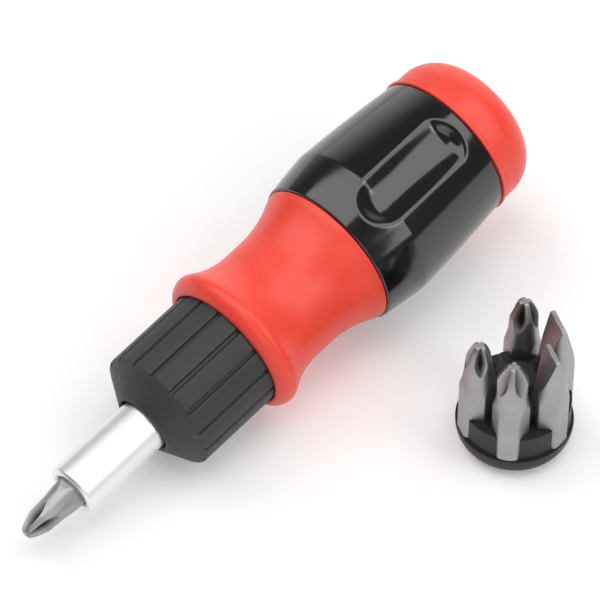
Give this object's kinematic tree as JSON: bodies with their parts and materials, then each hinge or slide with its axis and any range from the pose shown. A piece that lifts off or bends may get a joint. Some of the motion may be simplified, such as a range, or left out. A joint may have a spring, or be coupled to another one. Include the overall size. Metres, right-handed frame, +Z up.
{
  "type": "ratcheting screwdriver",
  "caption": "Stubby ratcheting screwdriver with a selector collar, a magnetic hex bit holder and a handle that stores a bit rack, shown standing beside it.",
  "frame": {"origin": "under the middle of the whole layout, on the floor it rests on", "axes": "+Z up, driver lying along X with its nose toward -X and slightly down, bit rack standing on the -Y side"},
  "size_m": [0.1271, 0.0737, 0.0392],
  "materials": {
    "red_plastic": "satin orange-red",
    "black_gloss": "glossy",
    "black_matte": "fine texture",
    "core_plastic": "moulded",
    "rack_plastic": "moulded",
    "bright_chrome": "satin chrome",
    "bit_steel": "satin",
    "ratchet_steel": "sintered, oiled",
    "zinc_screw": "zinc plated",
    "spring_steel": "bright",
    "light_alloy": "die cast",
    "bearing_brass": "turned",
    "rubber": "smooth",
    "magnet": "nickel plated"
  },
  "bodies": {
    "handle": {"barrel_shell": "black_gloss", "grip_sleeve": "red_plastic", "storage_tube": "core_plastic", "handle_core": "core_plastic", "core_screw": "zinc_screw", "ratchet_plug": "light_alloy", "plug_screws": "zinc_screw", "ratchet_cup": "ratchet_steel", "front_bush": "bearing_brass", "pawl_pin": "ratchet_steel", "collar_ring": "spring_steel", "cap_o_ring": "rubber"},
    "spindle": {"bit_holder": "bright_chrome", "holder_magnet": "magnet", "ratchet_gear": "ratchet_steel", "gear_key": "ratchet_steel", "holder_clip": "spring_steel", "thrust_washer": "ratchet_steel"},
    "bit": {"driver_bit": "bit_steel"},
    "selector": {"selector_collar": "black_matte", "selector_spring": "spring_steel"},
    "pawl": {"rocker_pawl": "ratchet_steel"},
    "cap": {"end_cap": "red_plastic"},
    "rack": {"bit_rack": "rack_plastic"},
    "bit_1": {"rack_bit_1": "bit_steel"},
    "bit_2": {"rack_bit_2": "bit_steel"},
    "bit_3": {"rack_bit_3": "bit_steel"},
    "bit_4": {"rack_bit_4": "bit_steel"},
    "bit_5": {"rack_bit_5": "bit_steel"}
  },
  "joints": [
    {"name": "spindle_turn", "type": "hinge", "parent": "handle", "child": "spindle", "pos_m": [-0.05157, 0.01976, 0.00974], "axis": [-0.9915, 0, -0.1299], "continuous": true},
    {"name": "bit_pull", "type": "slide", "parent": "spindle", "child": "bit", "axis": [-0.9915, 0, -0.1299], "range_m": [0, 0.02]},
    {"name": "selector_turn", "type": "hinge", "parent": "handle", "child": "selector", "pos_m": [-0.02827, 0.01976, 0.01279], "axis": [-0.9915, 0, -0.1299], "range_deg": [0, 50]},
    {"name": "pawl_rock", "type": "hinge", "parent": "handle", "child": "pawl", "pos_m": [-0.01576, 0.01976, 0.02199], "axis": [-0.9915, 0, -0.1299], "range_deg": [0, 16]},
    {"name": "cap_pull", "type": "slide", "parent": "handle", "child": "cap", "axis": [0.9915, 0, 0.1299], "range_m": [0, 0.025]},
    {"name": "rack_lift", "type": "slide", "parent": "handle", "child": "rack", "axis": [0, 0, 1], "range_m": [0, 0.05]},
    {"name": "bit_1_lift", "type": "slide", "parent": "rack", "child": "bit_1", "axis": [0, 0, 1], "range_m": [0, 0.03]},
    {"name": "bit_2_lift", "type": "slide", "parent": "rack", "child": "bit_2", "axis": [0, 0, 1], "range_m": [0, 0.03]},
    {"name": "bit_3_lift", "type": "slide", "parent": "rack", "child": "bit_3", "axis": [0, 0, 1], "range_m": [0, 0.03]},
    {"name": "bit_4_lift", "type": "slide", "parent": "rack", "child": "bit_4", "axis": [0, 0, 1], "range_m": [0, 0.03]},
    {"name": "bit_5_lift", "type": "slide", "parent": "rack", "child": "bit_5", "axis": [0, 0, 1], "range_m": [0, 0.03]}
  ],
  "couplings": [
    {"joint": "pawl_rock", "follows": "selector_turn", "ratio": 0.32}
  ]
}
